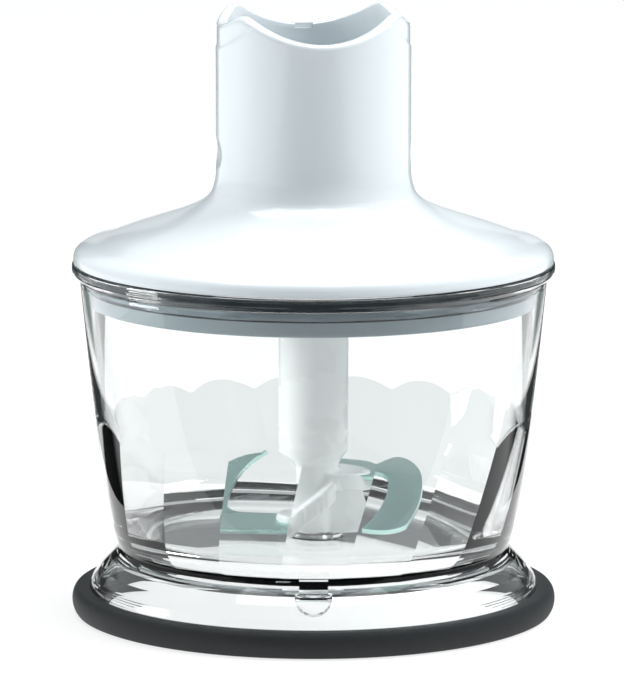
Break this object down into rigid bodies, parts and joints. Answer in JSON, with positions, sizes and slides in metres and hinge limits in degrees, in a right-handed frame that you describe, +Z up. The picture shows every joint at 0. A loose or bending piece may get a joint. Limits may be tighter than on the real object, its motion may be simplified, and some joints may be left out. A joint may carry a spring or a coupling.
{
  "type": "hand blender chopper bowl",
  "caption": "Round clear chopper bowl on a rubber ring, with a two-blade rotor on a centre pin and a white geared lid whose tall neck takes a hand blender's motor handle.",
  "frame": {"origin": "on the table under the bowl's axis, at the underside of the rubber ring", "axes": "+Z up along the axis of the bowl, the lid and the rotor; -Y is the front"},
  "size_m": [0.128, 0.128, 0.1602],
  "materials": {
    "clear_bowl": "clear moulded, polished",
    "steel": "turned and ground",
    "ring_rubber": "matte charcoal",
    "lid_white": "gloss white",
    "collar_grey": "satin grey-blue",
    "cover_grey": "moulded matte grey",
    "seal_rubber": "soft matte",
    "gear_nylon": "natural nylon",
    "bush_bronze": "sintered bronze",
    "coupling_grey": "moulded grey",
    "bush_polymer": "low-friction polymer",
    "hub_white": "satin white",
    "blade_steel": "ground stainless"
  },
  "bodies": {
    "bowl": {"bowl_side": "clear_bowl", "bowl_foot": "clear_bowl", "centre_pin": "steel"},
    "ring": {"anti_slip_ring": "ring_rubber"},
    "lid": {"lid_dome": "lid_white", "lid_neck": "lid_white", "lid_collar": "collar_grey", "gearbox_cover": "cover_grey", "lid_seal": "seal_rubber", "cover_screws": "steel", "ring_gear": "gear_nylon", "upper_bush": "bush_bronze", "socket_seal": "seal_rubber", "lower_bush": "bush_bronze", "shaft_seal": "seal_rubber"},
    "input": {"drive_coupling": "coupling_grey", "sun_gear": "steel", "upper_washer": "steel"},
    "carrier": {"planet_carrier": "gear_nylon", "carrier_cap": "steel", "planet_pins": "steel", "thrust_washer": "steel", "output_driver": "steel", "carrier_circlip": "steel"},
    "planet_1": {"planet_gear_1": "gear_nylon"},
    "planet_2": {"planet_gear_2": "gear_nylon"},
    "planet_3": {"planet_gear_3": "gear_nylon"},
    "bush": {"blade_bush": "bush_polymer"},
    "rotor": {"blade_hub": "hub_white", "lower_blade": "blade_steel", "upper_blade": "blade_steel"}
  },
  "joints": [
    {"name": "lid_lift", "type": "slide", "parent": "bowl", "child": "lid", "axis": [0, 0, 1], "range_m": [0, 0.15]},
    {"name": "bush_lift", "type": "slide", "parent": "bowl", "child": "bush", "axis": [0, 0, 1], "range_m": [0, 0.075]},
    {"name": "rotor_spin", "type": "hinge", "parent": "bush", "child": "rotor", "pos_m": [0, 0, 0.04], "axis": [0, 0, 1], "continuous": true},
    {"name": "carrier_spin", "type": "hinge", "parent": "lid", "child": "carrier", "pos_m": [0, 0, 0.09], "axis": [0, 0, 1], "continuous": true},
    {"name": "input_spin", "type": "hinge", "parent": "lid", "child": "input", "pos_m": [0, 0, 0.1], "axis": [0, 0, 1], "continuous": true},
    {"name": "planet_1_spin", "type": "hinge", "parent": "carrier", "child": "planet_1", "pos_m": [0.01073, 0.00122, 0.0988], "axis": [0, 0, 1], "continuous": true},
    {"name": "planet_2_spin", "type": "hinge", "parent": "carrier", "child": "planet_2", "pos_m": [-0.00642, 0.00868, 0.0988], "axis": [0, 0, 1], "continuous": true},
    {"name": "planet_3_spin", "type": "hinge", "parent": "carrier", "child": "planet_3", "pos_m": [-0.00431, -0.0099, 0.0988], "axis": [0, 0, 1], "continuous": true},
    {"name": "ring_pull", "type": "slide", "parent": "bowl", "child": "ring", "axis": [0, 0, -1], "range_m": [0, 0.02]}
  ],
  "couplings": [
    {"joint": "bush_lift", "follows": "lid_lift", "ratio": 0.5},
    {"joint": "carrier_spin", "follows": "rotor_spin", "ratio": 1},
    {"joint": "input_spin", "follows": "rotor_spin", "ratio": 4.5},
    {"joint": "planet_1_spin", "follows": "rotor_spin", "ratio": -2.8},
    {"joint": "planet_2_spin", "follows": "rotor_spin", "ratio": -2.8},
    {"joint": "planet_3_spin", "follows": "rotor_spin", "ratio": -2.8}
  ]
}
